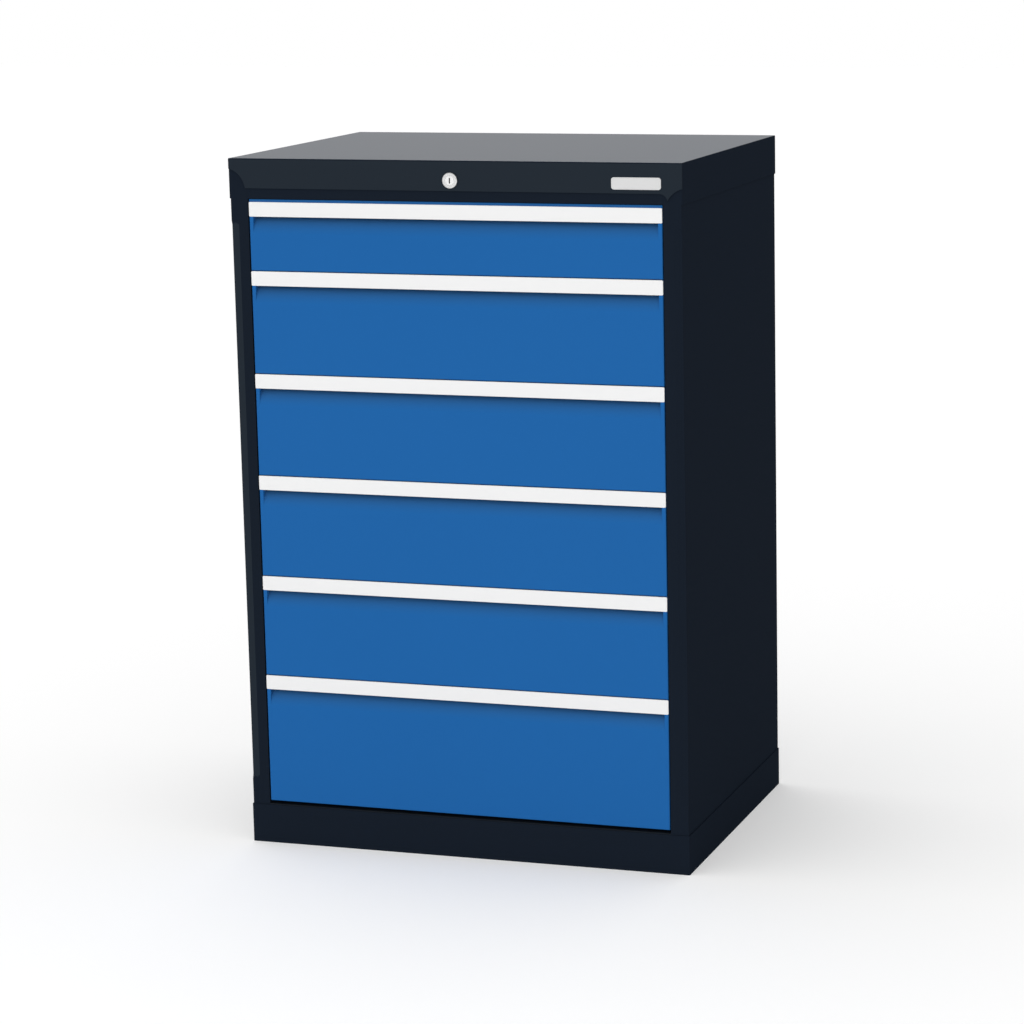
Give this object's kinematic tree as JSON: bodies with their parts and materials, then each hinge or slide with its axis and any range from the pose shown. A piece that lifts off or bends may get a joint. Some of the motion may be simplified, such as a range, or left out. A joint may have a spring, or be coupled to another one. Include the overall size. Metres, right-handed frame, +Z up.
{
  "type": "workshop drawer cabinet",
  "caption": "Floor-standing sheet-steel workshop cabinet with a stack of full-extension drawers, handle strips across their fronts, a cap, a plinth and one lock for all the drawers.",
  "frame": {"origin": "on the floor, under the middle of the casing and its lock", "axes": "+X to the right as seen from the front, +Y to the back, +Z up; the drawers open towards -Y"},
  "size_m": [0.68, 0.503, 1.019],
  "materials": {
    "casing_paint": "anthracite powder coat",
    "fascia_paint": "anthracite powder coat, a shade lighter",
    "inner_steel": "anthracite powder coat",
    "badge": "off-white, bare",
    "rail_steel": "zinc plated",
    "screws": "zinc plated",
    "lock_metal": "satin nickel",
    "plug_metal": "satin nickel",
    "bar_steel": "zinc plated",
    "guide_plastic": "black nylon",
    "front_paint": "blue powder coat",
    "handle_paint": "off-white paint on an aluminium section",
    "tray_paint": "light grey powder coat"
  },
  "bodies": {
    "cabinet": {"right_side_panel": "casing_paint", "left_side_panel": "casing_paint", "back_panel": "casing_paint", "back_screws": "screws", "top_cover": "casing_paint", "lock_fascia": "fascia_paint", "front_crossbar": "casing_paint", "badge_plate": "badge", "floor_pan": "inner_steel", "plinth": "casing_paint", "front_uprights": "inner_steel", "rear_uprights": "inner_steel", "right_cabinet_rails": "rail_steel", "left_cabinet_rails": "rail_steel", "rail_screws": "screws", "lock_housing": "lock_metal", "lock_nut": "lock_metal", "slider_guides": "guide_plastic", "bar_guides": "guide_plastic"},
    "lock_plug": {"lock_plug": "plug_metal", "lock_cam": "bar_steel"},
    "lock_slider": {"lock_slider": "bar_steel"},
    "locking_bar": {"locking_bar": "bar_steel", "locking_tabs": "bar_steel"},
    "drawer_1": {"drawer_1_front": "front_paint", "drawer_1_handle": "handle_paint", "drawer_1_tray": "tray_paint", "drawer_1_rails": "rail_steel", "drawer_1_catch": "bar_steel"},
    "middle_rails_1": {"drawer_1_middle_rails": "rail_steel"},
    "drawer_2": {"drawer_2_front": "front_paint", "drawer_2_handle": "handle_paint", "drawer_2_tray": "tray_paint", "drawer_2_rails": "rail_steel", "drawer_2_catch": "bar_steel"},
    "middle_rails_2": {"drawer_2_middle_rails": "rail_steel"},
    "drawer_3": {"drawer_3_front": "front_paint", "drawer_3_handle": "handle_paint", "drawer_3_tray": "tray_paint", "drawer_3_rails": "rail_steel", "drawer_3_catch": "bar_steel"},
    "middle_rails_3": {"drawer_3_middle_rails": "rail_steel"},
    "drawer_4": {"drawer_4_front": "front_paint", "drawer_4_handle": "handle_paint", "drawer_4_tray": "tray_paint", "drawer_4_rails": "rail_steel", "drawer_4_catch": "bar_steel"},
    "middle_rails_4": {"drawer_4_middle_rails": "rail_steel"},
    "drawer_5": {"drawer_5_front": "front_paint", "drawer_5_handle": "handle_paint", "drawer_5_tray": "tray_paint", "drawer_5_rails": "rail_steel", "drawer_5_catch": "bar_steel"},
    "middle_rails_5": {"drawer_5_middle_rails": "rail_steel"},
    "drawer_6": {"drawer_6_front": "front_paint", "drawer_6_handle": "handle_paint", "drawer_6_tray": "tray_paint", "drawer_6_rails": "rail_steel", "drawer_6_catch": "bar_steel"},
    "middle_rails_6": {"drawer_6_middle_rails": "rail_steel"}
  },
  "joints": [
    {"name": "drawer_1_slide", "type": "slide", "parent": "cabinet", "child": "drawer_1", "axis": [0, -1, 0], "range_m": [0, 0.41]},
    {"name": "middle_rails_1_slide", "type": "slide", "parent": "cabinet", "child": "middle_rails_1", "axis": [0, -1, 0], "range_m": [0, 0.206]},
    {"name": "drawer_2_slide", "type": "slide", "parent": "cabinet", "child": "drawer_2", "axis": [0, -1, 0], "range_m": [0, 0.41]},
    {"name": "middle_rails_2_slide", "type": "slide", "parent": "cabinet", "child": "middle_rails_2", "axis": [0, -1, 0], "range_m": [0, 0.206]},
    {"name": "drawer_3_slide", "type": "slide", "parent": "cabinet", "child": "drawer_3", "axis": [0, -1, 0], "range_m": [0, 0.41]},
    {"name": "middle_rails_3_slide", "type": "slide", "parent": "cabinet", "child": "middle_rails_3", "axis": [0, -1, 0], "range_m": [0, 0.206]},
    {"name": "drawer_4_slide", "type": "slide", "parent": "cabinet", "child": "drawer_4", "axis": [0, -1, 0], "range_m": [0, 0.41]},
    {"name": "middle_rails_4_slide", "type": "slide", "parent": "cabinet", "child": "middle_rails_4", "axis": [0, -1, 0], "range_m": [0, 0.206]},
    {"name": "drawer_5_slide", "type": "slide", "parent": "cabinet", "child": "drawer_5", "axis": [0, -1, 0], "range_m": [0, 0.41]},
    {"name": "middle_rails_5_slide", "type": "slide", "parent": "cabinet", "child": "middle_rails_5", "axis": [0, -1, 0], "range_m": [0, 0.206]},
    {"name": "drawer_6_slide", "type": "slide", "parent": "cabinet", "child": "drawer_6", "axis": [0, -1, 0], "range_m": [0, 0.41]},
    {"name": "middle_rails_6_slide", "type": "slide", "parent": "cabinet", "child": "middle_rails_6", "axis": [0, -1, 0], "range_m": [0, 0.206]},
    {"name": "locking_bar_lift", "type": "slide", "parent": "cabinet", "child": "locking_bar", "axis": [0, 0, 1], "range_m": [0, 0.0099]},
    {"name": "lock_slider_slide", "type": "slide", "parent": "cabinet", "child": "lock_slider", "axis": [1, 0, 0], "range_m": [0, 0.01]},
    {"name": "key_turn", "type": "hinge", "parent": "cabinet", "child": "lock_plug", "pos_m": [0, -0.2485, 0.991], "axis": [0, 1, 0], "range_deg": [0, 90]}
  ],
  "couplings": [
    {"joint": "middle_rails_1_slide", "follows": "drawer_1_slide", "ratio": 0.5},
    {"joint": "middle_rails_2_slide", "follows": "drawer_2_slide", "ratio": 0.5},
    {"joint": "middle_rails_3_slide", "follows": "drawer_3_slide", "ratio": 0.5},
    {"joint": "middle_rails_4_slide", "follows": "drawer_4_slide", "ratio": 0.5},
    {"joint": "middle_rails_5_slide", "follows": "drawer_5_slide", "ratio": 0.5},
    {"joint": "middle_rails_6_slide", "follows": "drawer_6_slide", "ratio": 0.5},
    {"joint": "lock_slider_slide", "follows": "locking_bar_lift", "ratio": 1},
    {"joint": "key_turn", "follows": "locking_bar_lift", "rad_per_m": 158.68}
  ]
}
